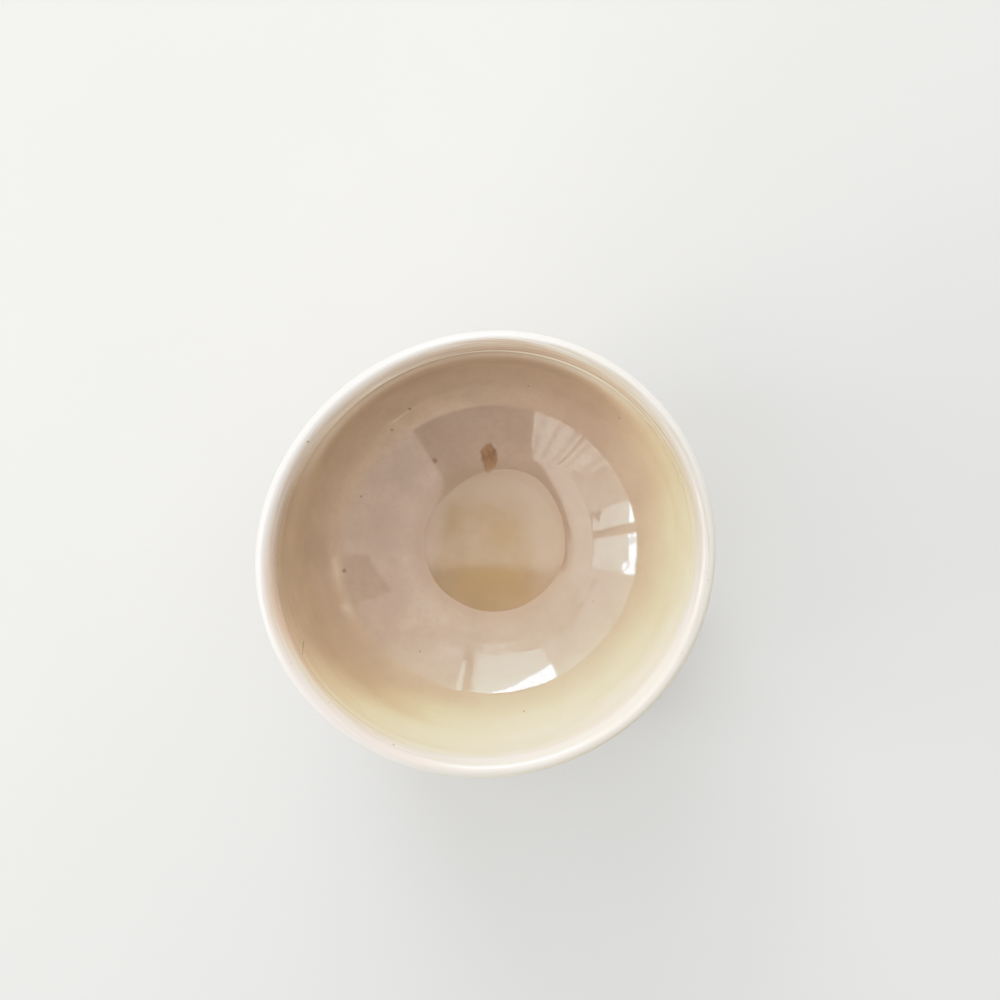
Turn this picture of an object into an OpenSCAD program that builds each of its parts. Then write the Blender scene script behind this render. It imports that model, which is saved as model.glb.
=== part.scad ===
/* [Cup] */
// Mean outside diameter of the lip
mouth_d = 70.2; // [64:0.2:76]
// Height from the table to the lip
cup_h = 48; // [46:0.5:52]
// How far the wall swells outside the lip, each side
belly_out = 1; // [0.4:0.1:1.6]
// Thickness of the wall where the lip starts to round in, glaze included
lip_t = 2.8; // [2.5:0.1:3.4]
// How far down the lip's inner face rounds in, from the crest
lip_fall = 3; // [1.6:0.1:3.4]

/* [Hand-thrown shape] */
// How far the lip is pulled out along its long axis, each side
oval_pull = 0.9; // [0:0.02:1.2]
// Direction of the long axis, anticlockwise from +X
oval_turn = 28; // [0:1:179]
// Height of the three soft corners of the lip's outline
lobe_pull = 0.18; // [0:0.02:0.4]
// Direction of the first soft corner
lobe_turn = -48; // [-60:1:60]
// Rise and fall of the lip around the mouth
lip_wave = 0.25; // [0:0.05:0.5]
// Direction of the lip's highest point
wave_turn = 130; // [0:5:355]

/* [Inside] */
// Height of the floor at the edge of the well
floor_z = 10; // [9.6:0.1:11]
// Diameter of the shallow well in the floor
well_d = 26; // [22:0.5:28]
// Radius of the curve where the floor meets the wall
corner_r = 12.5; // [11:0.1:13.5]
// How far the inner wall swells below the lip
inner_swell = 0.5; // [0.2:0.1:0.8]

/* [Glaze] */
// Thickness of both coats
glaze_t = 0.4; // [0.3:0.05:0.5]
// How far the outer coat laps down inside the lip
lap_depth = 4.8; // [3:0.1:6]
// Extra thickness of the bead where the outer coat ends
bead_t = 0.35; // [0.2:0.05:0.5]
// Depth of the amber pool at the centre of the well
pool_depth = 0.6; // [0.4:0.05:0.8]

/* [Foot] */
// Height of the foot, from the table to the bowl's underside
foot_h = 5.2; // [4.6:0.1:5.4]
// Outside diameter of the foot where it stands
foot_d = 32.4; // [30:0.2:33]
// Width of the ring that it stands on, with its bevels
foot_w = 4.4; // [4:0.1:4.8]
// Thickness of the slip that joins the foot to the bowl
slip_t = 0.25; // [0.2:0.05:0.4]

/* [Iron spot] */
// Distance of the spot from the cup's axis
spot_r = 15.6; // [15.5:0.1:18]
// Direction of the spot, anticlockwise from +X
spot_turn = 92; // [0:1:359]
// Length of the spot, towards the wall
spot_l = 4.8; // [3.5:0.1:4.8]
// Width of the spot
spot_w = 3; // [2:0.1:3.2]

/* [Hidden] */
around = 60;            // vertices around the cup
lip_r = mouth_d / 2;
belly_r = lip_r + belly_out;
well_r = well_d / 2;
well_edge_slope = 8;    // slope of the floor as it leaves the well
corner_slope = 36;      // slope where the floor's curve gives way to the corner's
wall_slope = 84;        // slope where the corner's curve gives way to the wall
lip_round = 1.2;        // radius of the lip's outer edge
lip_z = cup_h - lip_round;
crest_r = lip_r - lip_round;
mouth_r = lip_r - lip_t;
wall_top_z = cup_h - lip_fall;
belly_z = 34;           // height at which the outside is widest
shoulder_power = 2.4;   // how late the outside turns in towards the lip
foot_seat_r = 17.6;     // radius of the flat seat under the bowl
base_centre_r = 13;     // centre of the ellipse that rounds the bowl into its foot
glaze_line_turn = 56;   // angle along that ellipse at which the outer coat ends
recess_r = 10.2;        // radius of the hollow inside the foot
recess_d = 0.8;
nub_r = 2.6;            // the small centre left by the turning tool
spot_proud = 0.08;      // how far the spot stands above the glaze around it
spot_taper = 0.25;      // how much narrower its end towards the wall is
spot_step = 15;         // angle between the points of its outline
spot_cut_low = floor_z - 3;
spot_cut_h = 8;
spot_margin = 1.5;      // how far the spot's stock reaches inside the well's edge
bevel = 0.55;
foot_draft = 0.7;       // how much the ring widens towards the bowl
fillet = 0.6;           // the slip pressed out around the joint

// A point on a curve of radius r that is tangent to slope 0 below [cx, cy]
function on_arc(cx, cy, r, slope) = [cx + r * sin(slope), cy - r * cos(slope)];

// The floor's wide curve runs from the well's edge to where the corner's tighter one starts
corner_start_r = mouth_r + 0.05 - corner_r * (sin(wall_slope) - sin(corner_slope));
floor_r = (corner_start_r - well_r) / (sin(corner_slope) - sin(well_edge_slope));
floor_cx = well_r - floor_r * sin(well_edge_slope);
floor_cy = floor_z + floor_r * cos(well_edge_slope);
corner_start_z = floor_cy - floor_r * cos(corner_slope);
corner_cx = corner_start_r - corner_r * sin(corner_slope);
corner_cy = corner_start_z + corner_r * cos(corner_slope);
wall_start = on_arc(corner_cx, corner_cy, corner_r, wall_slope);

// Inside surface of the glaze, from the edge of the well up to the lip
floor_path = [for (i = [0 : 4])
    on_arc(floor_cx, floor_cy, floor_r, well_edge_slope + (corner_slope - well_edge_slope) * i / 4)];
corner_path = [for (i = [1 : 5])
    on_arc(corner_cx, corner_cy, corner_r, corner_slope + (wall_slope - corner_slope) * i / 5)];
function wall_point(s) = [
    wall_start[0] + (mouth_r - wall_start[0]) * s + inner_swell * sin(180 * s),
    wall_start[1] + (wall_top_z - wall_start[1]) * s];
lap_s = (lip_z - lap_depth - wall_start[1]) / (wall_top_z - wall_start[1]);
wall_path = [for (s = [0.25, 0.5, 0.7, lap_s]) wall_point(s)];
inner_path = concat(floor_path, corner_path, wall_path);

// The lip: a long curve inside its crest and a tight one outside, then the outside down to the coat's end
inner_lip = [for (a = [180 : -22.5 : 90])
    [crest_r + (crest_r - mouth_r) * cos(a), wall_top_z + lip_fall * sin(a)]];
outer_lip = [for (a = [60 : -30 : 0]) [crest_r + lip_round * cos(a), lip_z + lip_round * sin(a)]];
lip_path = concat(inner_lip, outer_lip);
function shoulder_point(z) = [
    belly_r - belly_out * pow((z - belly_z) / (lip_z - belly_z), shoulder_power), z];
shoulder_path = [for (z = [44.8, 43, 41, 38, belly_z]) shoulder_point(z)];
seat_turn = acos((foot_seat_r - base_centre_r) / (belly_r - base_centre_r));
base_drop = (belly_z - foot_h) / sin(seat_turn);
function base_point(a) = [
    base_centre_r + (belly_r - base_centre_r) * cos(a), belly_z - base_drop * sin(a)];
base_path = [for (i = [1 : 5]) base_point(glaze_line_turn * i / 5)];
outer_path = concat(shoulder_path, base_path);

// Unit normal of a path at vertex i, to the left of its direction
function turn_left(v) = [-v[1], v[0]] / norm(v);
function path_normal(p, i) =
    turn_left(p[min(i + 1, len(p) - 1)] - p[max(i - 1, 0)]);
function raised(p, t) = [for (i = [0 : len(p) - 1]) p[i] + t * path_normal(p, i)];
function reversed(p) = [for (i = [len(p) - 1 : -1 : 0]) p[i]];

// One unbroken line down the whole glazed surface, and the clay beneath it
glazed = concat(inner_path, lip_path, outer_path);
clay = raised(glazed, -glaze_t);
n_inner = len(inner_path);
n_lip = len(lip_path);
n_glazed = len(glazed);

// The floor of the well: clay, then the inner coat dished to hold the pool
pool_rim_z = floor_z;
function dish(depth, r) = pool_rim_z - depth * (1 - pow(r / well_r, 2));
well_steps = [0, 0.35, 0.7, 0.9];
well_clay = [for (s = well_steps) [s * well_r, dish(pool_depth, s * well_r) - glaze_t]];
well_glaze = [for (s = well_steps) [s * well_r, dish(pool_depth, s * well_r)]];
pool_sag = pool_depth * 0.3;    // how far the pool's own surface dips
pool_top = [for (s = well_steps) [s * well_r, dish(pool_sag, s * well_r)]];

// The bare clay below the outer coat, the seat for the foot and the hollow inside it
bare_inset = [-0.06, glaze_t / 2];
bare_path = [for (s = [0.34, 0.7])
    base_point(glaze_line_turn + (seat_turn - glaze_line_turn) * s) + bare_inset];
underside = [
    [foot_seat_r, foot_h], [recess_r, foot_h], [recess_r - recess_d, foot_h + recess_d],
    [nub_r + recess_d, foot_h + recess_d], [nub_r, foot_h + recess_d / 3], [0, foot_h + recess_d / 4]];

// Pulls a turned point out of round: not at all at the foot, fully at the lip
function pull(z) = pow(max(0, min(1, (z - foot_h) / (cup_h - foot_h))), 1.3);
function out_of_round(z, a) = 1 + pull(z) / lip_r
    * (oval_pull * cos(2 * (a - oval_turn)) + lobe_pull * cos(3 * (a - lobe_turn)));
function place(p, a) = [
    p[0] * out_of_round(p[1], a) * cos(a),
    p[0] * out_of_round(p[1], a) * sin(a),
    p[1] + pull(p[1]) * lip_wave * cos(a - wave_turn)];
function axis_point(p) = [0, 0, p[1]];

// Turns a closed outline about Z and pulls it out of round. Vertices on the axis become poles
module turned(outline) {
    n = len(outline);
    pole = outline[0][0] == 0;
    rings = pole ? [for (i = [1 : n - 2]) outline[i]] : outline;
    m = len(rings);
    angles = [for (j = [0 : around - 1]) 360 * j / around];
    verts = concat([for (p = rings) for (a = angles) place(p, a)],
        pole ? [axis_point(outline[0]), axis_point(outline[n - 1])] : []);
    function at(i, j) = (i % m) * around + j % around;
    last = pole ? m - 2 : m - 1;
    quads = [for (i = [0 : last]) for (j = [0 : around - 1])
        each [[at(i, j), at(i + 1, j), at(i + 1, j + 1)], [at(i, j), at(i + 1, j + 1), at(i, j + 1)]]];
    caps = pole ? [for (j = [0 : around - 1])
        each [[m * around, at(0, j), at(0, j + 1)], [m * around + 1, at(m - 1, j + 1), at(m - 1, j)]]] : [];
    polyhedron(points = verts, faces = concat(quads, caps), convexity = 6);
}

// Upright egg-shaped prism through the glaze, its narrow end towards the wall
module spot_prism() {
    outline = [for (a = [0 : spot_step : 359])
        [spot_r + spot_l / 2 * cos(a), spot_w / 2 * sin(a) * (1 - spot_taper * cos(a))]];
    rotate(spot_turn) translate([0, 0, spot_cut_low]) linear_extrude(spot_cut_h) polygon(outline);
}

inner_clay = [for (i = [0 : n_inner - 1]) clay[i]];
lap_end = clay[n_inner];
inner_coat = concat(well_glaze, inner_path, [lap_end], reversed(inner_clay), reversed(well_clay));

module clay_body() {
    color("#cdb592") turned(concat(well_clay, clay, bare_path, underside));
}

module foot_ring() {
    top_z = foot_h - slip_t;
    out_r = foot_d / 2;
    in_r = out_r - foot_w;
    color("#c3a47c") rotate_extrude($fn = 120) polygon([
        [in_r + bevel, 0], [out_r - bevel, 0], [out_r, bevel],
        [out_r + foot_draft, top_z], [in_r - foot_draft, top_z], [in_r, bevel]]);
}

module luting_slip() {
    low_z = foot_h - slip_t;
    out_r = foot_d / 2 + foot_draft;
    in_r = foot_d / 2 - foot_w - foot_draft;
    color("#b79870") rotate_extrude($fn = 120) polygon([
        [in_r, low_z], [out_r, low_z], [out_r + fillet, foot_h], [in_r - slip_t, foot_h]]);
}

module inner_glaze() {
    color("#e0cda6") difference() {
        turned(inner_coat);
        spot_prism();
    }
}

module outer_glaze() {
    n = n_glazed - n_inner;
    skin = [for (i = [n_inner : n_glazed - 1]) glazed[i]];
    under = [for (i = [n_inner : n_glazed - 1]) clay[i]];
    bead = glazed[n_glazed - 1] + bead_t * path_normal(glazed, n_glazed - 1);
    color("#efe6d4") turned(concat(
        [inner_path[n_inner - 1]], skin, [bead], reversed(under)));
}

module well_pool() {
    color("#c9a765") turned(concat(pool_top, [[well_r, pool_rim_z]], reversed(well_glaze)));
}

module iron_spot() {
    above = raised(floor_path, spot_proud);
    below = [for (i = [0 : len(floor_path) - 1]) clay[i]];
    color("#8a5a34") intersection() {
        turned(concat(
            [above[0] - [spot_margin, 0]], above, reversed(below), [below[0] - [spot_margin, 0]]));
        spot_prism();
    }
}

clay_body();
foot_ring();
luting_slip();
inner_glaze();
outer_glaze();
well_pool();
iron_spot();
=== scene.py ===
from math import acos, cos, degrees, exp, hypot, pi, radians, sin, tau

import bmesh
import bpy
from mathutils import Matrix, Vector, noise


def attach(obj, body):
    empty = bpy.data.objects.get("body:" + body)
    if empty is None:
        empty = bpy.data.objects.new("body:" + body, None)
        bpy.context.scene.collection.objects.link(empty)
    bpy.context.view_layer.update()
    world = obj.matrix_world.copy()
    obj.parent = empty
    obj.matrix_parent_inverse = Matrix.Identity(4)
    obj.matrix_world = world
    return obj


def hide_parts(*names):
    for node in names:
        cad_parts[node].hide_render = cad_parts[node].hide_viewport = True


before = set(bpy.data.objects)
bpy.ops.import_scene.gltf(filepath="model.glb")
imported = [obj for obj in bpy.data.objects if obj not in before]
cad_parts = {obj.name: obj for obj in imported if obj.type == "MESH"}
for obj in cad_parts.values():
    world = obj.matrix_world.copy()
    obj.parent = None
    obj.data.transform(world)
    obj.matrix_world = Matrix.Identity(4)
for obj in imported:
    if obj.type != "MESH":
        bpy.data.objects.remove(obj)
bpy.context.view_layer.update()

MM = 0.001

# Cup, in millimetres and degrees, with the names of the part's source
CUP_H = 48.0
LIP_R = 35.1
BELLY_R = 36.1
LIP_T = 2.8
LIP_ROUND = 1.2
LIP_FALL = 3.0
OVAL_PULL, OVAL_TURN = 0.9, 28
LOBE_PULL, LOBE_TURN = 0.18, -48
LIP_WAVE, WAVE_TURN = 0.25, 130
FLOOR_Z = 10.0
WELL_R = 13.0
CORNER_R = 12.5
INNER_SWELL = 0.5
GLAZE_T = 0.4
LAP_DEPTH = 4.8
POOL_DEPTH = 0.6
FOOT_H = 5.2
FOOT_R = 16.2
FOOT_W = 4.4
FOOT_DRAFT = 0.7
SLIP_T = 0.25
BELLY_Z = 34.0
SHOULDER_POWER = 2.4
FOOT_SEAT_R = 17.6
BASE_CENTRE_R = 13.0
GLAZE_LINE_TURN = 56
RECESS_R, RECESS_D = 10.2, 0.8
NUB_R = 2.6
WELL_EDGE_SLOPE, CORNER_SLOPE, WALL_SLOPE = 8, 36, 84

LIP_Z = CUP_H - LIP_ROUND
CREST_R = LIP_R - LIP_ROUND
MOUTH_R = LIP_R - LIP_T
WALL_TOP_Z = CUP_H - LIP_FALL

AROUND = 240                    # vertices around the cup
SHARP_ANGLE = 50                # edges that turn by more than this stay sharp
CREAM_TURN = -62                # where the liner is palest and the white glaze darkest: partly glaze colour, partly painted light on the liner, which faces the windows there, and painted shade on the white glaze, which faces away
UNDER_LIP_TURN = 100            # where the wall under the lip is palest: partly a paler glaze, partly painted light on a wall that faces away from the windows
DARK_LIP_TURN = 45                  # where the lip is darkest inside its crest
BROWN_LIP_TURN = -140              # where the lip is brownest inside its crest

BRIGHT_AZIMUTH = 135            # towards the corner between the two windows
LIGHT = 0.53                    # scene light for a painted brightness of 1
TONE_SCALE = 0.5                # keeps the brightest light in the scene under 1, where the tone curve ends


def sind(a):
    return sin(radians(a))


def cosd(a):
    return cos(radians(a))


def clamp(x):
    return max(0.0, min(1.0, x))


def smooth(x):
    """0 below 0, 1 above 1, with a soft start and end."""
    x = clamp(x)
    return x * x * (3 - 2 * x)


def mix(a, b, t):
    return a + (b - a) * t


def bump(x, centre, width):
    """A soft bump, 1 high at its centre."""
    return exp(-((x - centre) / width) ** 2)


def turn_gap(a, b):
    """Angle from b to a, between -180 and 180 degrees."""
    return (a - b + 180) % 360 - 180


# The glazed line: one unbroken curve from the well's edge, up the inside, over the lip and down the outside
CORNER_START_R = MOUTH_R + 0.05 - CORNER_R * (sind(WALL_SLOPE) - sind(CORNER_SLOPE))
FLOOR_R = (CORNER_START_R - WELL_R) / (sind(CORNER_SLOPE) - sind(WELL_EDGE_SLOPE))
FLOOR_C = (WELL_R - FLOOR_R * sind(WELL_EDGE_SLOPE), FLOOR_Z + FLOOR_R * cosd(WELL_EDGE_SLOPE))
CORNER_C = (CORNER_START_R - CORNER_R * sind(CORNER_SLOPE),
            FLOOR_C[1] - FLOOR_R * cosd(CORNER_SLOPE) + CORNER_R * cosd(CORNER_SLOPE))
WALL_START = (CORNER_C[0] + CORNER_R * sind(WALL_SLOPE), CORNER_C[1] - CORNER_R * cosd(WALL_SLOPE))
SEAT_TURN = degrees(acos((FOOT_SEAT_R - BASE_CENTRE_R) / (BELLY_R - BASE_CENTRE_R)))
BASE_DROP = (BELLY_Z - FOOT_H) / sind(SEAT_TURN)
WALL_H = WALL_TOP_Z - WALL_START[1]

# Stations on that line: each stage is one unit long
FLOOR, CORNER, WALL, LIP, SHOULDER, BASE, LINE_END = range(7)


def arc(centre, radius, slope):
    return centre[0] + radius * sind(slope), centre[1] - radius * cosd(slope)


def glazed_point(u):
    """(radius, height) of the glazed surface at station u."""
    if u < CORNER:
        return arc(FLOOR_C, FLOOR_R, mix(WELL_EDGE_SLOPE, CORNER_SLOPE, u - FLOOR))
    if u < WALL:
        return arc(CORNER_C, CORNER_R, mix(CORNER_SLOPE, WALL_SLOPE, u - CORNER))
    if u < LIP:
        t = u - WALL
        return mix(WALL_START[0], MOUTH_R, t) + INNER_SWELL * sin(pi * t), mix(WALL_START[1], WALL_TOP_Z, t)
    if u < SHOULDER:
        turn = 180 * (1 - (u - LIP))
        if turn > 90:
            return CREST_R + (CREST_R - MOUTH_R) * cosd(turn), WALL_TOP_Z + LIP_FALL * sind(turn)
        return CREST_R + LIP_ROUND * cosd(turn), LIP_Z + LIP_ROUND * sind(turn)
    if u < BASE:
        t = 1 - (u - SHOULDER)
        return BELLY_R - (BELLY_R - LIP_R) * t ** SHOULDER_POWER, mix(BELLY_Z, LIP_Z, t)
    turn = GLAZE_LINE_TURN * (u - BASE)
    return BASE_CENTRE_R + (BELLY_R - BASE_CENTRE_R) * cosd(turn), BELLY_Z - BASE_DROP * sind(turn)


def glazed_normal(u):
    """Unit normal of the glazed line, out of the clay."""
    r0, z0 = glazed_point(max(u - 0.01, 0))
    r1, z1 = glazed_point(u + 0.01)
    length = hypot(r1 - r0, z1 - z0)
    return -(z1 - z0) / length, (r1 - r0) / length


def offset_point(u, height):
    r, z = glazed_point(u)
    nr, nz = glazed_normal(u)
    return r + nr * height, z + nz * height


def stations(*spans):
    """Stations from (start, end, steps) spans, ends shared."""
    out = [spans[0][0]]
    for start, end, steps in spans:
        out += [mix(start, end, (i + 1) / steps) for i in range(steps)]
    return out


# Relief of the thrown and glazed surface, in millimetres out of the clay
def wander(x, y, z, seed):
    """Smooth noise, about -1 to 1."""
    return noise.noise(Vector((x, y, z + 31.7 * seed)))


def soft_noise(a, r, z, scale, seed):
    """Smooth noise on the cup's skin, its features about scale millimetres across."""
    return wander(r * cosd(a) / scale, r * sind(a) / scale, z / scale, seed)


def inner_relief(u, a):
    r, z = glazed_point(u)
    run = z if u > CORNER else r            # climbs along the surface
    rings = 0.005 * sin(run * tau / 3.1 + a * pi / 180 + 3 * soft_noise(a, r, z, 30, 1))
    rings *= 0.3 + abs(soft_noise(a, r, z, 14, 20))
    steps = 0.03 * bump(r, 17.3, 0.9) + 0.018 * bump(r, 19.6, 0.6) if u < CORNER else 0
    low = 0.06 * soft_noise(a, r, z, 17, 2)
    ease = smooth((r - WELL_R) / 2.0) if u < CORNER else 1
    return (rings + steps + low) * ease


def brushed_relief(u, a):
    """Fine rings left by the brush round the inside of the lip."""
    r, z = glazed_point(u)
    drift = soft_noise(a, LIP_R, 0, 16, 3)
    run = CUP_H - z
    fade = smooth((run - 0.15) / 0.6) * (1 - smooth((run - LAP_DEPTH - 2.5) / 3.0))
    lines = sin((run + drift) * tau / 1.5) + 0.5 * sin((run + 0.6 * drift) * tau / 0.8 + 1.3)
    return 0.018 * lines * fade * (0.75 + 0.6 * soft_noise(a, r, z, 9, 21))


def outer_relief(u, a):
    r, z = glazed_point(u)
    down = LIP_Z - z
    rings = 0.13 * sin(down * tau / 6.4 + a * pi / 180 + 1.6 * soft_noise(a, r, z, 26, 4))
    rings *= smooth(down / 5) * (0.75 + 0.5 * soft_noise(a, r, z, 22, 5))
    low = 0.12 * soft_noise(a, r, z, 19, 6) * smooth(down / 3)
    return rings + low


def lip_relief(u, a):
    r, z = glazed_point(u)
    return 0.05 * soft_noise(a, r, z, 9, 7) + 0.006 * soft_noise(a, r, z, 3, 8)


def relief(u, a):
    """Inside, lip and outside, blended into each other."""
    inside = 1 - smooth((u - (LIP - 0.3)) / 0.4)
    outside = smooth((u - (SHOULDER - 0.3)) / 0.5)
    out = lip_relief(u, a) * (1 - inside) * (1 - outside)
    if inside > 0:
        out += inside * inner_relief(u, a)
    if outside > 0:
        out += outside * outer_relief(u, a)
    if WALL < u < LIP + 0.5:
        out += brushed_relief(u, a)
    return out


# Placing turned points in the frame
def well_bulge(a):
    """How much further the well's edge lies from the axis at an angle, in millimetres."""
    return (1.5 * bump(turn_gap(a, 63), 0, 34) + 0.5 * bump(turn_gap(a, 0), 0, 40)
            - 0.5 * bump(turn_gap(a, 128), 0, 26) + 0.2 * wander(cosd(a) * 2, sind(a) * 2, 0, 9))


def place(r, z, a, inside=False):
    """Frame position, in metres, of a turned point, pulled out of round as the lip is."""
    lift = clamp((z - FOOT_H) / (CUP_H - FOOT_H)) ** 1.3
    out_of_round = 1 + lift / LIP_R * (
        OVAL_PULL * cosd(2 * (a - OVAL_TURN)) + LOBE_PULL * cosd(3 * (a - LOBE_TURN)))
    if inside:
        near_well = smooth(r / WELL_R) if r < WELL_R else 1 - smooth((r - WELL_R) / 9)
        r += well_bulge(a) * near_well
    z += lift * LIP_WAVE * min(1, r / LIP_R) * cosd(a - WAVE_TURN)
    return Vector((r * out_of_round * cosd(a), r * out_of_round * sind(a), z)) * MM


def new_object(name, verts, faces, marks=None):
    """marks, if given, is a number for each vertex, which the material reads as the attribute Mark."""
    mesh = bpy.data.meshes.new(name)
    mesh.from_pydata([tuple(v) for v in verts], [], faces)
    if marks:
        mesh.attributes.new("Mark", "FLOAT", "POINT").data.foreach_set("value", marks)
    mesh.validate()
    shell = bmesh.new()
    shell.from_mesh(mesh)
    bmesh.ops.recalc_face_normals(shell, faces=shell.faces)
    shell.to_mesh(mesh)
    shell.free()
    mesh.shade_smooth()
    mesh.set_sharp_from_angle(angle=radians(SHARP_ANGLE))
    piece = bpy.data.objects.new(name, mesh)
    bpy.context.scene.collection.objects.link(piece)
    return piece


def grid_faces(cells):
    """Faces of a square grid whose vertices run row by row."""
    n = cells + 1
    corners = [j * n + i for j in range(cells) for i in range(cells)]
    return [(k, k + 1, k + n + 1, k + n) for k in corners]


def turned(name, outline, inside=False):
    """Closed solid from outline(angle): (radius, height) points, anticlockwise about the solid's section.

    An outline that starts and ends on the axis gets one vertex at each of those ends. In one that stays off
    the axis, a third number in a point is its mark.
    """
    angles = [360 * j / AROUND for j in range(AROUND)]
    rings = [outline(a) for a in angles]
    pole = rings[0][0][0] == 0
    if pole:
        ends = [rings[0][0], rings[0][-1]]
        rings = [ring[1:-1] for ring in rings]
    count = len(rings[0])
    verts = [place(p[0], p[1], a, inside) for a, ring in zip(angles, rings) for p in ring]
    marks = [p[2] for ring in rings for p in ring] if len(rings[0][0]) > 2 else None

    def at(i, j):
        return (j % AROUND) * count + i % count

    spans = count - 1 if pole else count
    faces = [(at(i, j), at(i, j + 1), at(i + 1, j + 1), at(i + 1, j))
             for j in range(AROUND) for i in range(spans)]
    if pole:
        top = len(verts)
        verts += [Vector((0, 0, p[1])) * MM for p in ends]
        faces += [(top, at(0, j + 1), at(0, j)) for j in range(AROUND)]
        faces += [(top + 1, at(count - 1, j), at(count - 1, j + 1)) for j in range(AROUND)]
    return new_object(name, verts, faces, marks)


# Pieces
def dish(r):
    """Height of the shallow well in the floor, under the pool."""
    return FLOOR_Z - POOL_DEPTH * (1 - (r / WELL_R) ** 2)


WELL_RADII = [WELL_R * i / 12 for i in range(12)]


def wall_station(z):
    """Station of the inner wall at a height."""
    return WALL + (z - WALL_START[1]) / WALL_H


def lap_station(a):
    """Where the outer coat ends inside, a little uneven."""
    depth = LAP_DEPTH + 0.35 * soft_noise(a, LIP_R, 0, 24, 10) + 0.12 * soft_noise(a, LIP_R, 0, 5, 11)
    return wall_station(LIP_Z - depth)


def make_inner_glaze():
    def outline(a):
        top = lap_station(a)
        skin = stations((FLOOR, CORNER, 64), (CORNER, WALL, 44), (WALL, top, 50))
        face = [offset_point(u, relief(u, a)) for u in skin]
        back = stations((FLOOR, CORNER, 8), (CORNER, WALL, 8), (WALL, top, 6))
        under = [offset_point(u, -GLAZE_T) for u in reversed(back)]
        well = [(r, dish(r)) for r in WELL_RADII]
        bed = [(r, dish(r) - GLAZE_T) for r in reversed(WELL_RADII)]
        return well + face + under + bed

    return turned("inner_glaze_coat", outline, inside=True)


def make_outer_glaze():
    mean_end = LINE_END - 0.045     # the coat's ragged lower edge
    bead_h, bead_w = 0.35, 0.022    # the roll of glaze along that edge, its width in stations
    edge_drop, edge_w = 0.32, 0.012

    def outline(a):
        start = lap_station(a)
        end = mean_end + 0.03 * soft_noise(a, LIP_R, 0, 14, 12) + 0.012 * soft_noise(a, LIP_R, 0, 4, 13)
        skin = stations((start, LIP, 16), (LIP, SHOULDER, 48), (SHOULDER, BASE, 50), (BASE, end, 70))

        def height(u):
            bead = bead_h * bump(u, end - bead_w, bead_w)
            edge = edge_drop * smooth((u - (end - edge_w)) / edge_w)
            return relief(u, a) + bead - edge

        face = [(*offset_point(u, height(u)), u) for u in skin]
        back = reversed(stations((LIP, SHOULDER, 10), (SHOULDER, BASE, 10), (BASE, end, 16)))
        under = [(*offset_point(u, -GLAZE_T), u) for u in back]
        tail = [(*offset_point(mix(start, LIP, t), mix(-0.05, -GLAZE_T, t)), start) for t in (0.8, 0.4)]
        return face + under + tail

    return turned("outer_glaze_coat", outline)


def make_pool():
    def outline(a):
        def top(r):
            x = r / WELL_R
            waves = 0.006 * soft_noise(a, r, 0, 9, 14) * smooth(x / 0.3) * (1 - smooth((x - 0.8) / 0.2))
            return FLOOR_Z + waves

        radii = [WELL_R * i / 30 for i in range(30)]
        face = [(r, top(r)) for r in radii] + [(WELL_R, FLOOR_Z)]
        bed = [(r, dish(r)) for r in reversed(WELL_RADII)]
        return face + bed

    return turned("amber_pool", outline, inside=True)


def turned_base(a, start):
    """Bare clay from a turn on the base down to the foot, with the grooves of the turning tool."""
    out = []
    steps = 40
    for i in range(1, steps):
        turn = mix(start, SEAT_TURN, i / steps)
        r = BASE_CENTRE_R + (BELLY_R - BASE_CENTRE_R) * cosd(turn)
        z = BELLY_Z - BASE_DROP * sind(turn)
        inset = mix(GLAZE_T, 0.12, smooth((turn - start) / 4))
        grooves = 0.05 * sin(turn * 2.6 + a * pi / 180) + 0.03 * soft_noise(a, r, z, 3, 15)
        nr, nz = cosd(turn), -sind(turn)
        out.append((r - nr * (inset - grooves), z - nz * (inset - grooves)))
    return out


def recess(a):
    """The hollow under the foot, with the spiral and the nub that turning leaves."""
    out = []
    steps = 60
    for i in range(steps):
        r = mix(RECESS_R, 0.3, i / (steps - 1))
        past_nub = smooth((r - NUB_R + 0.6) / 1.2)
        hollow = RECESS_D * smooth((RECESS_R - r) / 1.1) * past_nub
        nub = RECESS_D * 0.3 * (1 - past_nub)
        spiral = 0.05 * sin(r * tau / 1.5 - a * pi / 180) * smooth((RECESS_R - r) / 1.5)
        out.append((r, FOOT_H + hollow + nub + spiral * smooth(r / 2)))
    return out + [(0, FOOT_H + RECESS_D / 4)]


def make_bare_clay():
    bare_from = 0.9                 # share of the glaze's way down the base, from which the clay shows

    def outline(a):
        glazed = stations((FLOOR, CORNER, 8), (CORNER, WALL, 8), (WALL, LIP, 10), (LIP, SHOULDER, 10),
                          (SHOULDER, BASE, 10), (BASE, BASE + bare_from, 14))
        inside = [offset_point(u, -GLAZE_T) for u in glazed]
        well = [(r, dish(r) - GLAZE_T) for r in WELL_RADII]
        seat = [(mix(FOOT_SEAT_R, RECESS_R, t), FOOT_H) for t in (0, 0.3, 0.6)]
        return well + inside + turned_base(a, GLAZE_LINE_TURN * bare_from) + seat + recess(a)

    return turned("bare_clay_bowl", outline)


def rounded(points, radius, steps=5):
    """Outline with its corners rounded by a quadratic curve that starts radius away from each."""
    out = []
    for i, corner in enumerate(points):
        p, q = Vector(points[i - 1]), Vector(points[(i + 1) % len(points)])
        c = Vector(corner)
        cut = min(radius, (p - c).length * 0.45, (q - c).length * 0.45)
        a = c + (p - c).normalized() * cut
        b = c + (q - c).normalized() * cut
        for k in range(steps + 1):
            t = k / steps
            out.append(tuple((1 - t) ** 2 * a + 2 * t * (1 - t) * c + t * t * b))
    return out


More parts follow.
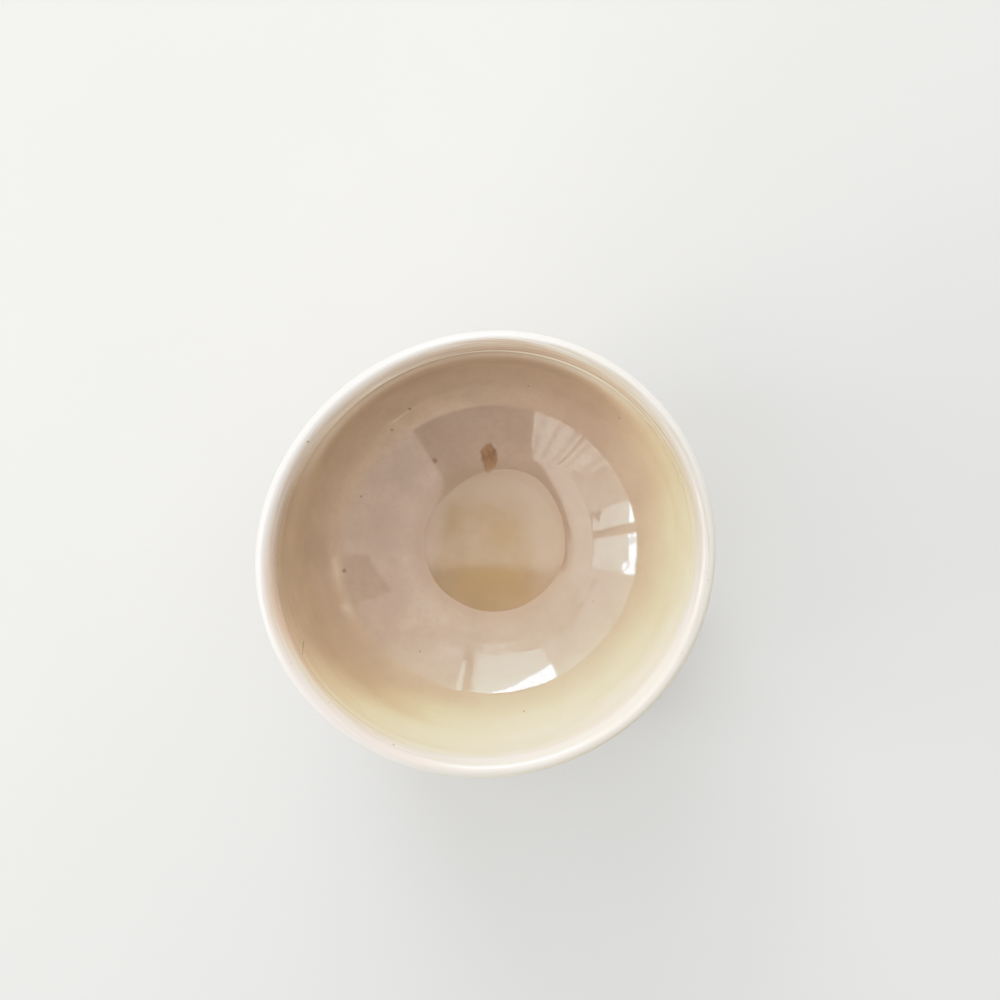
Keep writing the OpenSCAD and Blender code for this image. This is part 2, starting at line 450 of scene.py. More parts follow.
def densify(points, step):
    """Closed outline with points added along its long edges."""
    out = []
    for i, p in enumerate(points):
        q = points[(i + 1) % len(points)]
        n = max(1, int(hypot(q[0] - p[0], q[1] - p[1]) / step))
        out += [(mix(p[0], q[0], k / n), mix(p[1], q[1], k / n)) for k in range(n)]
    return out


def make_foot_ring():
    bevel = 0.55
    top_z = FOOT_H - SLIP_T
    in_r = FOOT_R - FOOT_W
    corners = [(in_r + bevel, 0), (FOOT_R - bevel, 0), (FOOT_R, bevel),
               (FOOT_R + FOOT_DRAFT, top_z), (in_r - FOOT_DRAFT, top_z), (in_r, bevel)]
    section = densify(rounded(corners, 0.35), 0.12)

    def outline(a):
        out = []
        for r, z in section:
            side = smooth(z / 0.5) * smooth((top_z - z) / 0.3)
            outward = 1 if r > FOOT_R - FOOT_W / 2 else -1
            chatter = 0.035 * sin(z * tau / 1.1 + a * pi / 180) + 0.05 * soft_noise(a, r, z, 4, 16) - 0.03
            out.append((r + outward * side * chatter, z))
        return out

    return turned("foot_ring_turned", outline)


def make_slip():
    low_z = FOOT_H - SLIP_T
    out_r = FOOT_R + FOOT_DRAFT
    in_r = FOOT_R - FOOT_W - FOOT_DRAFT

    def outline(a):
        squeeze = 0.1 * soft_noise(a, FOOT_R, 0, 3, 17)
        outer = [(mix(out_r, out_r + 0.55 + squeeze, t ** 2), mix(low_z, FOOT_H, t))
                 for t in (0, 0.25, 0.5, 0.75, 1)]
        inner = [(mix(in_r - 0.22 - squeeze * 0.5, in_r, t), mix(FOOT_H, low_z, t)) for t in (0, 0.5, 1)]
        return outer + inner

    return turned("slip_joint", outline)


# Blisters of iron in the inner surface
def surface_station(r):
    """Station of the inner surface at a distance from the axis."""
    low, high = FLOOR, WALL + 0.5
    for _ in range(40):
        middle = (low + high) / 2
        if glazed_point(middle)[0] < r:
            low = middle
        else:
            high = middle
    return low


def blister(station, turn, long_half, wide_half, proud, seed, grid=8, lean=0.0):
    """Vertices, faces and marks of a low dome on the skin.

    Its marks go from 0 in the middle to 1 at the edge.
    lean is how many degrees the dome's upper end turns away from its middle.
    """
    r0, z0 = glazed_point(station)
    r1, z1 = glazed_point(station + 0.01)
    run = hypot(r1 - r0, z1 - z0) / 0.01
    top, low, marks = [], [], []
    for j in range(grid + 1):
        for i in range(grid + 1):
            x, y = 2 * i / grid - 1, 2 * j / grid - 1
            # a square grid drawn onto a disc
            dx, dy = x * (1 - y * y / 2) ** 0.5, y * (1 - x * x / 2) ** 0.5
            reach = hypot(dx, dy)
            ragged = 1 + 0.22 * wander(dx * 1.6, dy * 1.6, 0, seed)
            u = station + dx * long_half * ragged / run
            a = turn + lean * dx + degrees(dy * wide_half * ragged * (1 - 0.45 * dx) / r0)
            height = 0.015 + proud * (1 - smooth(reach)) * (0.7 + 0.6 * wander(dx * 2, dy * 2, 3, seed))
            top.append(place(*offset_point(u, relief(u, a) + height), a, True))
            low.append(place(*offset_point(u, relief(u, a) - 0.1), a, True))
            marks.append(reach)
    n = grid + 1
    faces = grid_faces(grid)
    base = n * n
    faces += [tuple(base + v for v in reversed(f)) for f in faces]
    rim = list(range(n)) + [j * n + grid for j in range(1, n)]
    rim += [grid * n + i for i in range(grid - 1, -1, -1)] + [j * n for j in range(grid - 1, 0, -1)]
    faces += [(rim[k - 1], rim[k - 1] + base, rim[k] + base, rim[k]) for k in range(len(rim))]
    return top + low, faces, marks + marks


def blisters(name, *parts):
    verts, faces, marks = [], [], []
    for part_verts, part_faces, part_marks in parts:
        faces += [tuple(len(verts) + v for v in f) for f in part_faces]
        verts += part_verts
        marks += part_marks
    return new_object(name, verts, faces, marks=marks)


def make_iron_spot():
    return blisters("iron_spot_blister", blister(surface_station(15.9), 92.4, 3.2, 1.75, 0.05, 18, grid=30))


# radius, angle and half width of each speck in the liner
LINER_SPECKS = ((27.9, 131, 0.32), (29.0, 121, 0.35), (31.8, 45, 0.3), (19.0, 125, 0.62), (25.7, 160, 0.3),
                (27.4, 190, 0.5), (30.5, 281, 0.3), (24.0, 236, 0.22), (21.5, 330, 0.2), (29.5, 77, 0.22))
# station, angle and half width of each speck in the white glaze
WHITE_SPECKS = ((LIP + 0.35, 147, 0.3), (LIP + 0.2, 244, 0.32), (LIP + 0.55, 354, 0.22),
                (SHOULDER + 0.6, 20, 0.4), (SHOULDER + 0.4, 75, 0.3), (BASE + 0.1, 118, 0.5),
                (SHOULDER + 0.8, 160, 0.35), (BASE + 0.3, 205, 0.4), (SHOULDER + 0.3, 232, 0.28),
                (BASE + 0.2, 271, 0.45), (BASE + 0.5, 318, 0.35))


def make_specks():
    inner = [blister(surface_station(r), a, 1.2 * half, half, 0.008, 40 + i)
             for i, (r, a, half) in enumerate(LINER_SPECKS)]
    # a hairline stain that runs up the wall
    inner.append(blister(wall_station(40.5), 207, 4.2, 0.14, 0.0, 80, grid=16, lean=2.0))
    outer = [blister(u, a, 1.2 * half, half, 0.05, 60 + i) for i, (u, a, half) in enumerate(WHITE_SPECKS)]
    return blisters("liner_specks", *inner), blisters("white_specks", *outer)


# Materials
class Nodes:
    """A node tree, with short calls to add and join its nodes."""

    def __init__(self, tree):
        self.tree = tree

    def add(self, kind, **settings):
        node = self.tree.nodes.new(kind)
        for key, value in settings.items():
            setattr(node, key, value)
        return node

    def feed(self, socket, value):
        if isinstance(value, bpy.types.NodeSocket):
            self.tree.links.new(value, socket)
        else:
            socket.default_value = value

    def ramp(self, value, low, high, out_low=0.0, out_high=1.0):
        """out_low where value is at low, out_high where it is at high, with a soft start and end."""
        node = self.add("ShaderNodeMapRange", interpolation_type="SMOOTHSTEP")
        self.feed(node.inputs["Value"], value)
        self.feed(node.inputs["From Min"], low)
        self.feed(node.inputs["From Max"], high)
        self.feed(node.inputs["To Min"], out_low)
        self.feed(node.inputs["To Max"], out_high)
        return node.outputs["Result"]

    def math(self, operation, a, b=0.0):
        node = self.add("ShaderNodeMath", operation=operation)
        self.feed(node.inputs[0], a)
        self.feed(node.inputs[1], b)
        return node.outputs[0]

    def product(self, *values):
        out = values[0]
        for value in values[1:]:
            out = self.math("MULTIPLY", out, value)
        return out

    def paint(self, below, mask, level):
        """Brightness level where mask is 1, below elsewhere."""
        node = self.add("ShaderNodeMix", data_type="FLOAT")
        self.feed(node.inputs["Factor"], mask)
        self.feed(node.inputs["A"], below)
        self.feed(node.inputs["B"], level)
        return node.outputs["Result"]


class Material(Nodes):
    """A material whose nodes start from the position on its object."""

    def __init__(self, name):
        self.material = bpy.data.materials.new(name)
        self.material.use_nodes = True
        super().__init__(self.material.node_tree)
        self.shader = self.tree.nodes["Principled BSDF"]
        self.position = self.add("ShaderNodeTexCoord").outputs["Object"]

    def set(self, **values):
        for name, value in values.items():
            self.feed(self.shader.inputs[name.replace("_", " ")], value)

    def scaled(self, stretch=(1, 1, 1), shift=(0, 0, 0)):
        """Object position in millimetres."""
        node = self.add("ShaderNodeMapping")
        self.feed(node.inputs["Vector"], self.position)
        node.inputs["Scale"].default_value = [1000 * s for s in stretch]
        node.inputs["Location"].default_value = shift
        return node.outputs["Vector"]

    def noise(self, size, detail=3, rough=0.5, stretch=(1, 1, 1)):
        """Noise with features about size millimetres across, 0 to 1."""
        node = self.add("ShaderNodeTexNoise")
        self.feed(node.inputs["Vector"], self.scaled(stretch))
        node.inputs["Scale"].default_value = 1 / size
        node.inputs["Detail"].default_value = detail
        node.inputs["Roughness"].default_value = rough
        return node.outputs["Fac"]

    def dots(self, spacing, radius, soft, shift=(0, 0, 0)):
        """1 inside round dots scattered at a spacing, radius and softness as shares of it."""
        node = self.add("ShaderNodeTexVoronoi")
        self.feed(node.inputs["Vector"], self.scaled(shift=shift))
        node.inputs["Scale"].default_value = 1 / spacing
        return self.ramp(node.outputs["Distance"], radius + soft, radius)

    def mix(self, factor, a, b):
        """Colour a where factor is 0, b where it is 1."""
        node = self.add("ShaderNodeMix", data_type="RGBA")
        self.feed(node.inputs["Factor"], factor)
        for socket, value in ((node.inputs[6], a), (node.inputs[7], b)):
            self.feed(socket, value if isinstance(value, bpy.types.NodeSocket) else (*value, 1))
        return node.outputs[2]

    def mark(self):
        """The number that the mesh holds for each vertex."""
        return self.add("ShaderNodeAttribute", attribute_name="Mark").outputs["Fac"]

    def blot(self, x, y, reach, soft, ragged=0.0):
        """1 inside a ragged round patch centred on (x, y), its size in millimetres."""
        node = self.add("ShaderNodeVectorMath", operation="DISTANCE")
        self.feed(node.inputs[0], self.scaled(stretch=(1, 1, 0)))
        node.inputs[1].default_value = (x, y, 0)
        away = self.math("ADD", node.outputs["Value"], self.product(self.noise(3.0, 3), ragged))
        return self.ramp(away, reach + soft + ragged / 2, reach - soft + ragged / 2)

    def streaks(self, apart=0.5, long=14):
        """Fine lines round the cup as a brush or a finger leaves them, 0 to 1; sizes in millimetres."""
        run = self.math("ADD", self.radius(), self.axis("Z"))
        place_on = self.add("ShaderNodeCombineXYZ")
        self.feed(place_on.inputs[0], self.math("DIVIDE", self.axis("X"), long))
        self.feed(place_on.inputs[1], self.math("DIVIDE", self.axis("Y"), long))
        self.feed(place_on.inputs[2], self.math("DIVIDE", run, apart))
        node = self.add("ShaderNodeTexNoise")
        self.feed(node.inputs["Vector"], place_on.outputs[0])
        node.inputs["Scale"].default_value = 1.0
        node.inputs["Detail"].default_value = 3
        return node.outputs["Fac"]

    def axis(self, letter):
        """One coordinate of the position, in millimetres."""
        node = self.add("ShaderNodeSeparateXYZ")
        self.feed(node.inputs[0], self.scaled())
        return node.outputs[letter]

    def along(self, azimuth):
        """How far the position lies out in a direction, in millimetres."""
        node = self.add("ShaderNodeVectorMath", operation="DOT_PRODUCT")
        self.feed(node.inputs[0], self.scaled())
        node.inputs[1].default_value = (cosd(azimuth), sind(azimuth), 0)
        return node.outputs["Value"]

    def radius(self):
        """Distance from the cup's axis, in millimetres."""
        node = self.add("ShaderNodeVectorMath", operation="LENGTH")
        self.feed(node.inputs[0], self.scaled(stretch=(1, 1, 0)))
        return node.outputs["Value"]

    def relief(self, height, strength, distance_mm):
        node = self.add("ShaderNodeBump")
        node.inputs["Strength"].default_value = strength
        node.inputs["Distance"].default_value = distance_mm * MM
        self.feed(node.inputs["Height"], height)
        self.feed(self.shader.inputs["Normal"], node.outputs["Normal"])


def glaze_gloss(m, waviness=0.005, roughness=0.05):
    """The glassy surface that all the glazes share."""
    m.set(Roughness=roughness, IOR=1.65)
    m.relief(m.math("ADD", m.noise(3.5, 2), m.product(m.noise(0.5, 2), 0.12)), 1.0, waviness)


def wall_colour(m, cloud):
    """How cream and lit, how far on the pale, painted-light upper side the inner wall is, and its colour.

    The wall goes from brown, up and left, to cream, and is paler under the lip on the upper side. Both are
    partly the glaze's own colour and partly painted: painted shade on the brown side, which faces away from
    the windows, painted light on the cream side, which faces them, and painted light under the lip.
    """
    cream_and_lit = m.ramp(m.along(CREAM_TURN), -0.75 * MOUTH_R, 0.85 * MOUTH_R)
    colour = m.mix(cream_and_lit, m.mix(cloud, (0.50, 0.405, 0.29), (0.53, 0.43, 0.31)),
                   m.mix(cloud, (0.64, 0.535, 0.395), (0.67, 0.565, 0.415)))
    # painted light, partly a paler glaze: the upper wall under the lip, which faces away from the windows,
    # is painted pale
    pale_and_lit_top = m.ramp(m.along(UNDER_LIP_TURN), 12, 27)
    pale_and_lit_under_lip = m.product(m.ramp(m.axis("Z"), 27.5, 37.5), pale_and_lit_top)
    colour = m.mix(pale_and_lit_under_lip, colour, (0.86, 0.83, 0.76))
    lines = m.product(m.ramp(m.streaks(0.5, 16), 0.42, 0.68), m.ramp(m.axis("Z"), 26, 42, 0.03, 0.2))
    return cream_and_lit, pale_and_lit_top, m.mix(lines, colour, (0.76, 0.68, 0.57))


def liner_colour(m):
    cloud = m.ramp(m.noise(7, 3), 0.35, 0.65)
    colour = m.mix(cloud, (0.48, 0.38, 0.305), (0.51, 0.41, 0.335))
    lower_right = m.ramp(m.along(-45), 0, 18)
    colour = m.mix(lower_right, colour, m.mix(cloud, (0.44, 0.355, 0.285), (0.47, 0.38, 0.31)))
    mottle = m.ramp(m.noise(1.1, 4, 0.6), 0.42, 0.66)
    colour = m.mix(m.product(mottle, 0.3), colour, (0.46, 0.355, 0.28))
    cream_and_lit, _, wall = wall_colour(m, cloud)
    up = m.ramp(m.axis("Z"), 12, m.ramp(cream_and_lit, 0, 1, 30, 22))
    colour = m.mix(m.product(up, 0.95), colour, wall)
    near_pool = m.ramp(m.radius(), 17.0, 13.5)
    colour = m.mix(m.product(near_pool, 0.6), colour, (0.43, 0.325, 0.235))
    specks = m.dots(3.4, 0.03, 0.03)
    return m.mix(m.product(specks, 0.35), colour, (0.34, 0.23, 0.16))


def lip_gloss(m):
    """Roughness of the inner wall: the thin glaze towards the lip shines less."""
    return m.ramp(m.axis("Z"), 37, 43, 0.05, 0.26)


def liner_glaze():
    m = Material("liner_glaze")
    m.set(Base_Color=liner_colour(m))
    glaze_gloss(m, roughness=lip_gloss(m))
    return m.material


def white_colour(m, line=None):
    """line is the station along the glazed line, where the mesh holds it."""
    cloud = m.ramp(m.noise(9, 3), 0.35, 0.65)
    colour = m.mix(cloud, (0.62, 0.57, 0.49), (0.645, 0.595, 0.52))
    # painted shade: darker and warmer towards the lower right, the side away from the windows
    colour = m.mix(m.ramp(m.along(CREAM_TURN), -15, 20, 0, 0.9), colour, (0.53, 0.475, 0.39))
    mottle = m.ramp(m.noise(1.6, 4, 0.6), 0.45, 0.7)
    colour = m.mix(m.product(mottle, 0.3), colour, (0.56, 0.495, 0.405))
    if line:
        # the glaze is thin from the top of the lip inwards, and melts into the inner coat; this band also
        # holds painted light, pale on the upper side and creamier towards the lower right
        wavy = m.math("ADD", line, m.product(m.math("SUBTRACT", m.noise(5, 3), 0.5), 0.10))
        lines = m.ramp(m.streaks(0.35, 14), 0.42, 0.68)
        cream_and_lit, pale_and_lit_top, wall = wall_colour(m, cloud)
        darker_lip_side = m.ramp(m.along(DARK_LIP_TURN), 5, 28)
        face = m.mix(pale_and_lit_top, (0.47, 0.40, 0.34), (0.86, 0.82, 0.76))
        face = m.mix(cream_and_lit, face, (0.65, 0.58, 0.47))
        face = m.mix(darker_lip_side, face, (0.44, 0.365, 0.28))
        top = m.mix(cream_and_lit, (0.53, 0.465, 0.41), (0.51, 0.445, 0.35))
        top = m.mix(darker_lip_side, top, (0.385, 0.305, 0.24))
        thin = m.mix(m.ramp(m.axis("Z"), 45.0, 47.3), face, top)
        thin = m.mix(m.ramp(m.along(BROWN_LIP_TURN), 20, 33, 0, 0.8), thin, (0.53, 0.39, 0.31))
        thin = m.mix(m.product(lines, 0.35), thin, (0.68, 0.62, 0.54))
        thin = m.mix(m.ramp(m.axis("Z"), 43.4, 45.2), wall, thin)
        colour = m.mix(m.ramp(wavy, LIP + 0.60, LIP + 0.47), colour, thin)
    specks = m.dots(3.4, 0.03, 0.03, shift=(3, 8, 1))
    return m.mix(m.product(specks, 0.6), colour, (0.3, 0.22, 0.16))


def white_glaze():
    m = Material("white_glaze")
    line = m.mark()
    m.set(Base_Color=white_colour(m, line))
    glaze_gloss(m, 0.006, m.ramp(line, LIP + 0.4, LIP + 0.9, lip_gloss(m), 0.18))
    return m.material


def amber_glaze():
    m = Material("amber_glaze")
    cloud = m.ramp(m.noise(5, 3), 0.35, 0.65)
    colour = m.mix(cloud, (0.415, 0.318, 0.205), (0.44, 0.34, 0.225))
    # painted reflection: the pool is lighter and pinker towards the top, where it mirrors the pale ceiling
    colour = m.mix(m.ramp(m.axis("Y"), 5, 10, 0, 0.8), colour, (0.465, 0.365, 0.27))
    low = m.product(m.blot(-1.0, -7.0, 6.5, 4.0, 4.0), m.ramp(m.axis("Y"), -3.0, -5.5))
    low = m.product(low, m.ramp(m.axis("Y"), -12.0, -7.5, 0.25, 0.95))
    colour = m.mix(low, colour, (0.43, 0.322, 0.18))
    for x, y, reach in ((-1.8, 4.8, 1.6), (1.6, 1.6, 3.0), (-8.0, 4.2, 2.3)):
        colour = m.mix(m.product(m.blot(x, y, reach, 2.4, 4.0), 0.8), colour, (0.41, 0.305, 0.165))
    # the pool thins out to the left and the right, and ends more sharply elsewhere
    thin = m.math("MAXIMUM", m.ramp(m.along(168), 8.2, 11.8), m.ramp(m.along(12), 4.0, 9.5, 0, 0.9))
    colour = m.mix(m.product(thin, 0.85), colour, (0.475, 0.38, 0.30))
    edge = m.ramp(m.radius(), 12.0, 13.2)
    colour = m.mix(m.product(edge, 0.25), colour, (0.43, 0.31, 0.20))
    m.set(Base_Color=colour)
    glaze_gloss(m, 0.006)
    return m.material


def iron(name, ground, rusty, dark, strength, core):
    """Iron that bleeds out into the glaze around it, full inside the core.

    ground(m) is that glaze's colour.
    """
    m = Material(name)
    stain = m.mix(m.ramp(m.noise(0.9, 2, stretch=(1, 0.35, 1)), 0.38, 0.64), rusty, dark)
    ragged = m.math("ADD", m.mark(), m.product(m.math("SUBTRACT", m.noise(1.2, 4), 0.5), 0.5))
    here = m.product(m.ramp(ragged, 1.0, core), strength)
    m.set(Base_Color=m.mix(here, ground(m), stain))
    glaze_gloss(m)
    return m.material


def fired_clay(name, light, dark, toast):
    m = Material(name)
    cloud = m.ramp(m.noise(4, 4, 0.6), 0.35, 0.65)
    colour = m.mix(cloud, dark, light)
    patches = m.ramp(m.noise(11, 2), 0.45, 0.62)
    colour = m.mix(m.product(patches, 0.5), colour, toast)
    grit = m.dots(0.9, 0.1, 0.08)
    colour = m.mix(m.product(grit, 0.6), colour, tuple(0.45 * c for c in dark))
    m.set(Base_Color=colour, Roughness=0.85)
    m.relief(m.math("ADD", m.noise(0.35, 4, 0.7), m.product(grit, -0.6)), 0.6, 0.12)
    return m.material


def dress(piece, material, node):
    piece.data.materials.append(material)
    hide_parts(node)
    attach(piece, "root")


bare_clay = fired_clay("bare_clay", (0.46, 0.37, 0.28), (0.37, 0.29, 0.21), (0.43, 0.28, 0.18))
foot_clay = fired_clay("foot_clay", (0.44, 0.35, 0.26), (0.35, 0.27, 0.195), (0.41, 0.26, 0.16))
slip = fired_clay("slip", (0.40, 0.31, 0.225), (0.32, 0.24, 0.17), (0.36, 0.235, 0.145))
spot_iron = iron("iron", liner_colour, (0.40, 0.25, 0.13), (0.30, 0.18, 0.09), 0.92, 0.68)

dress(make_inner_glaze(), liner_glaze(), "inner_glaze")
dress(make_outer_glaze(), white_glaze(), "outer_glaze")
dress(make_pool(), amber_glaze(), "well_pool")
dress(make_bare_clay(), bare_clay, "clay_body")
dress(make_foot_ring(), foot_clay, "foot_ring")
dress(make_slip(), slip, "luting_slip")
dress(make_iron_spot(), spot_iron, "iron_spot")
for specks, ground in zip(make_specks(), (liner_colour, white_colour)):
    rust = iron(specks.name, ground, (0.36, 0.24, 0.165), (0.26, 0.16, 0.11), 0.82, 0.3)
    specks.data.materials.append(rust)
    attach(specks, "root")


# Floor
def make_floor():
    half, cells = 1.5, 12           # half its width in metres
    lines = [mix(-half, half, i / cells) for i in range(cells + 1)]
    floor = new_object("floor", [(x, y, 0) for y in lines for x in lines], grid_faces(cells))
    m = Material("pale_floor")
    grain = m.ramp(m.noise(60, 2), 0.3, 0.7)
    shaded_far_side = m.mix(grain, (0.455, 0.448, 0.425), (0.466, 0.459, 0.436))
    lit_window_side = m.mix(grain, (0.533, 0.522, 0.490), (0.545, 0.534, 0.502))
    # painted light and shade: the floor is paler towards the windows and darker on the far side
    colour = m.mix(m.ramp(m.along(BRIGHT_AZIMUTH), -90, 70), shaded_far_side, lit_window_side)
    m.set(Base_Color=colour, Roughness=0.6)
    floor.data.materials.append(m.material)


make_floor()


# Light: a pale room with a window to the left and one at the top, seen as directions over the cup
def make_room_light():
    world = bpy.data.worlds.new("room")
    world.use_nodes = True
    bpy.context.scene.world = world
    world.node_tree.nodes.clear()
    room = Nodes(world.node_tree)
    add, feed, math, product, paint = room.add, room.feed, room.math, room.product, room.paint
    step = room.ramp                # from 0 to 1
    within = product                # masks multiplied: 1 where all of them are 1

    direction = add("ShaderNodeSeparateXYZ")
    feed(direction.inputs[0], add("ShaderNodeTexCoord").outputs["Generated"])
    up = math("MAXIMUM", direction.outputs["Z"], 0.02)
    # where the direction meets a ceiling one unit above
    x = math("DIVIDE", direction.outputs["X"], up)
    y = math("DIVIDE", direction.outputs["Y"], up)

    def side(a, b, c, soft=0.04):
        """1 on the side of the line where a*x + b*y + c is positive."""
        across = math("ADD", product(x, a), math("ADD", product(y, b), c))
        return step(across, -soft / 2, soft / 2)

    def facing(azimuth):
        """Cosine of the turn between the direction and an azimuth."""
        east = product(direction.outputs["X"], cosd(azimuth))
        north = product(direction.outputs["Y"], sind(azimuth))
        level_run = math("SQRT", math("SUBTRACT", 1.0001, product(up, up)))
        return math("DIVIDE", math("ADD", east, north), level_run)

    # the corner between the two windows is the bright side of the room
    bright_side = step(facing(BRIGHT_AZIMUTH), -0.6, 0.5)
    high = step(up, 0.45, 0.8)
    dim_wall = paint(0.8, step(up, 0.2, 0.5), 0.45)
    wall = paint(dim_wall, bright_side, paint(1.4, high, 2.0))
    reach = math("SQRT", math("ADD", product(x, x), product(y, y)))
    ceiling = paint(paint(1.1, bright_side, 1.35), step(reach, 0.75, 0.25), 1.45)
    near_window = step(facing(200), 0.70, 0.80)
    ceiling = paint(ceiling, within(side(-1, 0, -0.36, 0.12), near_window), 2.0)
    edge = 0.665                    # where the ceiling meets the wall with the left window
    overhead = within(side(1, 0, edge, 0.01), side(0, -1, 0.62, 0.2), step(up, 0.22, 0.28))
    level = paint(wall, overhead, ceiling)
    moulding, shade, wide = 0.653, 0.677, 0.735
    level = paint(level, within(side(-1, 0, -moulding, 0.01), side(1, 0, shade, 0.01), near_window), 3.3)
    level = paint(level, within(side(-1, 0, -shade, 0.01), side(1, 0, wide, 0.01), near_window), 1.1)
    # light curtains at the far end of that wall, hanging in folds, with a gap between them
    turn = math("ARCTANGENT", math("DIVIDE", y, x))
    fold = math("POWER", math("ABSOLUTE", math("SINE", product(turn, 27))), 0.5)
    folds = math("ADD", product(fold, 1.05), 1.12)
    gap = within(side(1.16, -1, 0, 0.01), side(-1.226, 1, 0, 0.01))
    curtains = within(side(0, -1, -0.67, 0.01), side(0.748, -1, 0, 0.02), side(-1, 0, -0.1, 0.01))
    level = paint(level, curtains, paint(folds, gap, 1.0))
    # a dark upright shape towards -Y, and another that reaches over the cup
    beside = within(side(1, 0, 0.335, 0.01), side(0, 1, 0.62, 0.02))
    behind = math("MAXIMUM", beside, side(1, -0.26, 0.12, 0.01))
    upright = within(side(-0.857, -0.515, 0, 0.01), behind, side(0, -1, -0.08, 0.006))
    far_end = math("MAXIMUM", side(0, 1, 0.056, 0.01), side(-1, 0, -0.12, 0.01))
    overhang = within(side(-1, 0.6, -0.038, 0.008), side(1, 0, 0.28, 0.01), side(0, -1, 0.05, 0.02), far_end)
    level = paint(level, within(overhang, side(1, 0, 0.12, 0.01)), 1.15)
    level = paint(level, math("MAXIMUM", upright, within(overhang, side(-1, 0, -0.12, 0.01))), 0.3)
    # a dark cupboard to the right
    cupboard = within(side(0.66, 0.75, -0.67, 0.02), side(0, 1, 0, 0.02), side(0.4, -1, 0, 0.02))
    level = paint(level, cupboard, 0.45)
    back = add("ShaderNodeBackground")
    back.inputs["Color"].default_value = (0.96, 0.97, 1.0, 1)
    feed(back.inputs["Strength"], product(level, LIGHT))
    # the camera itself sees a plain wall
    plain = add("ShaderNodeBackground")
    plain.inputs["Color"].default_value = (0.82, 0.82, 0.81, 1)
    plain.inputs["Strength"].default_value = LIGHT
    choose = add("ShaderNodeMixShader")
    feed(choose.inputs[0], add("ShaderNodeLightPath").outputs["Is Camera Ray"])
    feed(choose.inputs[1], back.outputs[0])
    feed(choose.inputs[2], plain.outputs[0])
    feed(add("ShaderNodeOutputWorld").inputs["Surface"], choose.outputs[0])


make_room_light()


LEFT_WALL, TOP_WALL = -1.82, 1.68       # where the two outer walls stand, in metres from the cup
WINDOW_TOP, SILL = 2.47, 0.60
VALANCE_TOP = 3.15
VEILED = 2.95                           # brightness of the panes where cloth hangs before them


def on_wall(wall, azimuth):
    """How far along a wall the cup sees a direction."""
    if wall == LEFT_WALL:
        return wall * sind(azimuth) / cosd(azimuth)
    return wall * cosd(azimuth) / sind(azimuth)


class Window:
    """A bright plane on a wall of the room, hidden from the camera.

    What shows on it is painted with masks in its run along the wall and its height.
    """

    def __init__(self, name, wall, start, end):
        low, high = sorted((on_wall(wall, start), on_wall(wall, end)))
        top = WINDOW_TOP if wall == LEFT_WALL else VALANCE_TOP
        corners = [(low, SILL), (high, SILL), (high, top), (low, top)]
        if wall == LEFT_WALL:
            verts = [(wall, c, z) for c, z in corners]
        else:
            verts = [(c, wall, z) for c, z in corners]
        mesh = bpy.data.meshes.new(name)
        mesh.from_pydata(verts, [], [(0, 1, 2, 3)])
        self.piece = bpy.data.objects.new(name, mesh)
        bpy.context.scene.collection.objects.link(self.piece)
        self.piece.visible_camera = False
        self.m = Material(name)
        split = self.m.add("ShaderNodeSeparateXYZ")
        self.m.feed(split.inputs[0], self.m.position)
        self.run = split.outputs["Y" if wall == LEFT_WALL else "X"]
        self.height = split.outputs["Z"]
        self.level = 0.0
        self.wall = wall
        mesh.materials.append(self.m.material)

    def below(self, slope, offset, soft=0.04):
        """1 where the height is under slope * run + offset."""
        line = self.m.math("ADD", self.m.product(self.run, slope), offset)
        return self.m.ramp(self.m.math("SUBTRACT", line, self.height), -soft / 2, soft / 2)

    def between(self, start, end, soft=0.02):
        """1 between two directions from the cup."""
        low, high = sorted((on_wall(self.wall, start), on_wall(self.wall, end)))
        after = self.m.ramp(self.run, low - soft, low + soft)
        before = self.m.ramp(self.run, high + soft, high - soft)
        return self.m.product(after, before)

    def paint(self, mask, level):
        self.level = self.m.paint(self.level, mask, level)

    def pane(self, start, end, slope, offset, level):
        """Paint level between two directions, where the height is under slope * run + offset."""
        self.paint(self.m.product(self.between(start, end), self.below(slope, offset)), level)

    def leaves(self, low, high):
        """Brightness broken up as by a garden behind the glass."""
        node = self.m.add("ShaderNodeTexNoise")
        self.m.feed(node.inputs["Vector"], self.m.position)
        node.inputs["Scale"].default_value = 9
        node.inputs["Detail"].default_value = 4
        return self.m.ramp(node.outputs["Fac"], 0.40, 0.58, low, high)

    def light(self, colour):
        strength = self.m.product(self.level, LIGHT)
        self.m.set(Emission_Color=(*colour, 1), Emission_Strength=strength)
        self.m.set(Base_Color=(0, 0, 0, 1), Roughness=1.0, Specular_IOR_Level=0.0)


DAYLIGHT = (0.98, 1.0, 0.99)


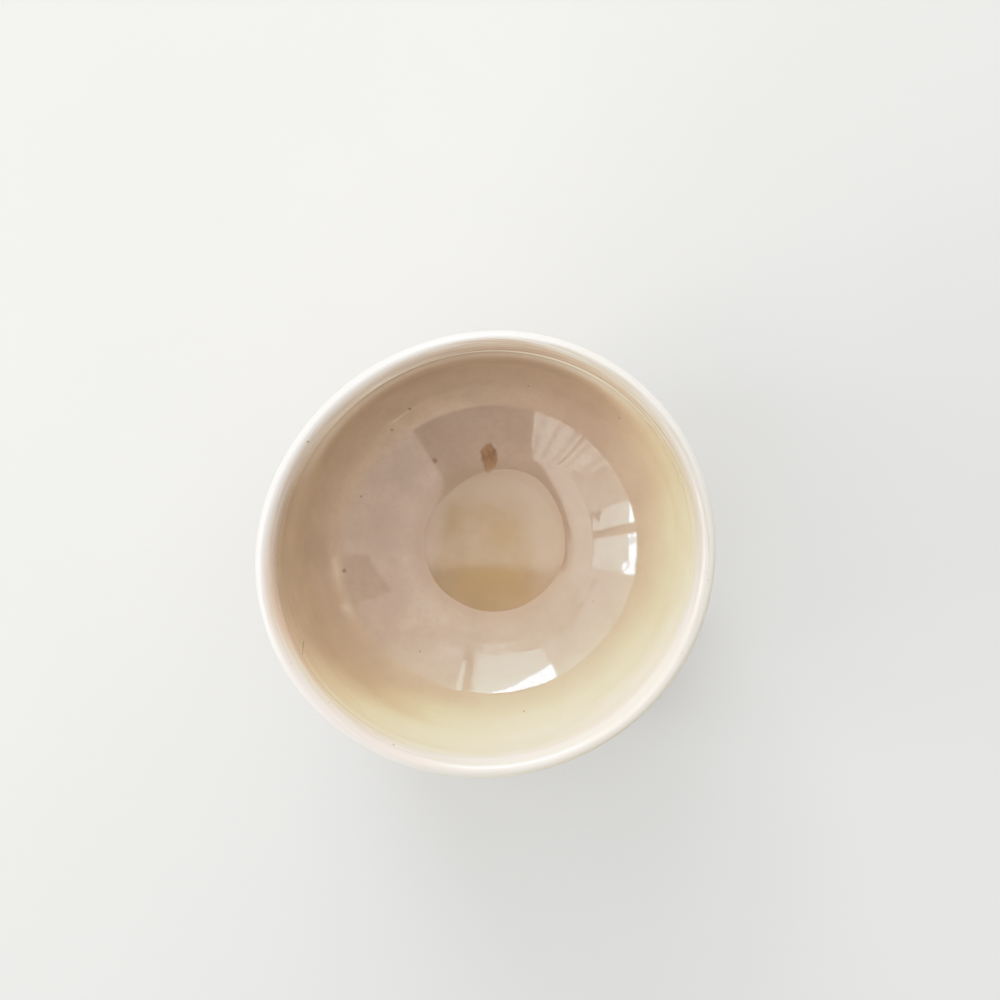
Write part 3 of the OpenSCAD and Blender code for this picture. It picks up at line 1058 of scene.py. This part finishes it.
def make_windows():
    left = Window("left_window", LEFT_WALL, 172, 201)
    left.paint(left.between(170, 203), 0.8)
    left.paint(left.between(171, 188), VEILED)
    left.pane(192.3, 202, 3.0, 3.97, VEILED)
    left.pane(192.6, 202, 0.5, 1.41, left.leaves(8, 20))
    left.pane(171, 187.7, -0.2, 1.2, left.leaves(5, 24))
    left.pane(171, 176, 0, 1.36, left.leaves(3, 22))
    left.light(DAYLIGHT)
    top = Window("top_window", TOP_WALL, 77, 119.5)
    top.paint(top.between(70, 125), 1.0)
    top.paint(top.m.ramp(top.height, WINDOW_TOP - 0.02, WINDOW_TOP + 0.02), 1.4)
    top.pane(84, 109, 0, VALANCE_TOP - 0.15, top.leaves(1.4, 2.7))
    # this pane's corner is hidden behind a fold of cloth
    folded = top.m.product(top.between(85.7, 120), top.below(-3.45, 2.72), top.below(0, WINDOW_TOP - 0.05))
    top.paint(folded, VEILED)
    top.pane(77.6, 80.2, 0, 1.95, VEILED)
    top.pane(85.7, 120, -0.62, 0.92, top.leaves(12, 24))
    top.light(DAYLIGHT)


make_windows()


# Camera
def make_camera():
    focal_px, image_px = 1118, 1000
    rim_px = (485.1, 556.8)             # where the centre of the mouth lies in the photograph
    over_rim = 0.1715                   # metres from the mouth up to the lens
    aside = (0.0068, 0.0119)            # how far the lens stands off the cup's axis
    data = bpy.data.cameras.new("camera")
    data.sensor_width = 36
    data.lens = data.sensor_width * focal_px / image_px
    data.clip_start = 0.01
    camera = bpy.data.objects.new("camera", data)
    rim = Vector((0, 0, CUP_H * MM))
    camera.location = rim + Vector((*aside, over_rim))
    seen = Vector(((rim_px[0] - image_px / 2) / focal_px, -(rim_px[1] - image_px / 2) / focal_px, -1))
    camera.rotation_mode = "QUATERNION"
    camera.rotation_quaternion = seen.rotation_difference(rim - camera.location)
    bpy.context.scene.collection.objects.link(camera)
    bpy.context.scene.camera = camera


make_camera()


def set_tone():
    """A camera's response: firm in the middle tones, gentle in the highlights."""
    view = bpy.context.scene.view_settings
    view.view_transform = "Standard"
    view.use_curve_mapping = True
    curve = view.curve_mapping.curves[3]
    curve.points[0].location = (0, 0)
    curve.points[1].location = (1, 1)
    for scene_level, shown in ((0.16, 0.143), (0.33, 0.34), (0.47, 0.53), (0.62, 0.69), (0.94, 0.84),
                               (1.2, 0.945), (1.5, 0.985)):
        curve.points.new(scene_level * TONE_SCALE, shown)
    view.curve_mapping.update()


set_tone()
